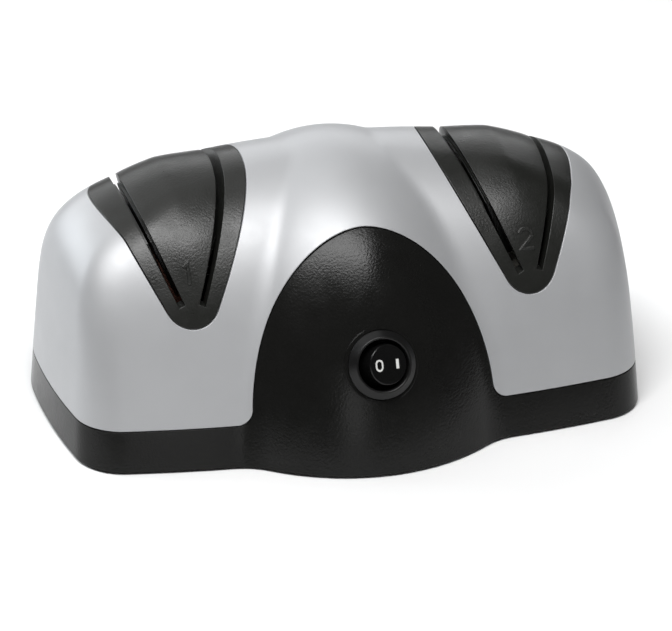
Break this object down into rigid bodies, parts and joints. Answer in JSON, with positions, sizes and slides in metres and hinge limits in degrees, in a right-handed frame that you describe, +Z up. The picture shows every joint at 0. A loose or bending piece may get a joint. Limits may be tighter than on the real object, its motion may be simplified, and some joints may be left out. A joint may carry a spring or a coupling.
{
  "type": "electric knife sharpener",
  "caption": "Counter-top electric knife sharpener with a silver arched housing, a black base and front panel, leaning knife slots on both wings and a round rocker switch.",
  "frame": {"origin": "centre of the footprint's bounding box, on the counter", "axes": "+Z up; the front, with the switch, faces -Y; +X runs along the length, toward stage 2"},
  "size_m": [0.2074, 0.1456, 0.0888],
  "materials": {
    "silver_shell": "satin metallic silver paint",
    "black_shell": "fine pebble texture",
    "guide_plastic": "fine satin texture",
    "switch_plastic": "semi-gloss",
    "rocker_plastic": "gloss",
    "mark_white": "white print",
    "terminal_brass": "bright",
    "black_rubber": "matt",
    "screw_steel": "zinc plated",
    "lamination_steel": "stacked sheets",
    "copper": "enamelled copper",
    "bobbin_nylon": "natural nylon",
    "bracket_alloy": "die cast",
    "bearing_bronze": "sintered bronze",
    "shaft_steel": "ground",
    "fan_plastic": "moulded",
    "hub_plastic": "moulded",
    "coarse_abrasive": "coarse bonded grit",
    "fine_abrasive": "fine bonded grit"
  },
  "bodies": {
    "frame": {"upper_housing": "silver_shell", "base_pan": "black_shell", "guide_insert_1": "guide_plastic", "guide_insert_2": "guide_plastic", "switch_body": "switch_plastic", "switch_terminals": "terminal_brass", "cord_inlet": "black_rubber", "feet": "black_rubber", "case_screws": "screw_steel", "motor_stack": "lamination_steel", "shading_rings": "copper", "coil_bobbin": "bobbin_nylon", "coil": "copper", "bracket_1": "bracket_alloy", "bracket_2": "bracket_alloy", "bearing_1": "bearing_bronze", "bearing_2": "bearing_bronze", "motor_bolts": "screw_steel", "motor_grommets": "black_rubber", "mount_screws": "screw_steel"},
    "rotor": {"motor_shaft": "shaft_steel", "rotor_core": "lamination_steel", "rotor_cage": "bracket_alloy", "cooling_fan": "fan_plastic", "wheel_hub_1": "hub_plastic", "wheel_hub_2": "hub_plastic", "grinding_wheel_1": "coarse_abrasive", "grinding_wheel_2": "fine_abrasive", "wheel_washers": "screw_steel", "wheel_nuts": "screw_steel"},
    "rocker": {"switch_rocker": "rocker_plastic", "switch_marks": "mark_white"}
  },
  "joints": [
    {"name": "rotor_spin", "type": "hinge", "parent": "frame", "child": "rotor", "pos_m": [0, 0.009, 0.04], "axis": [1, 0, 0], "continuous": true},
    {"name": "rocker_tip", "type": "hinge", "parent": "frame", "child": "rocker", "pos_m": [0, -0.05672, 0.03419], "axis": [0, 0.4376, 0.8992], "range_deg": [-24, 0]}
  ]
}
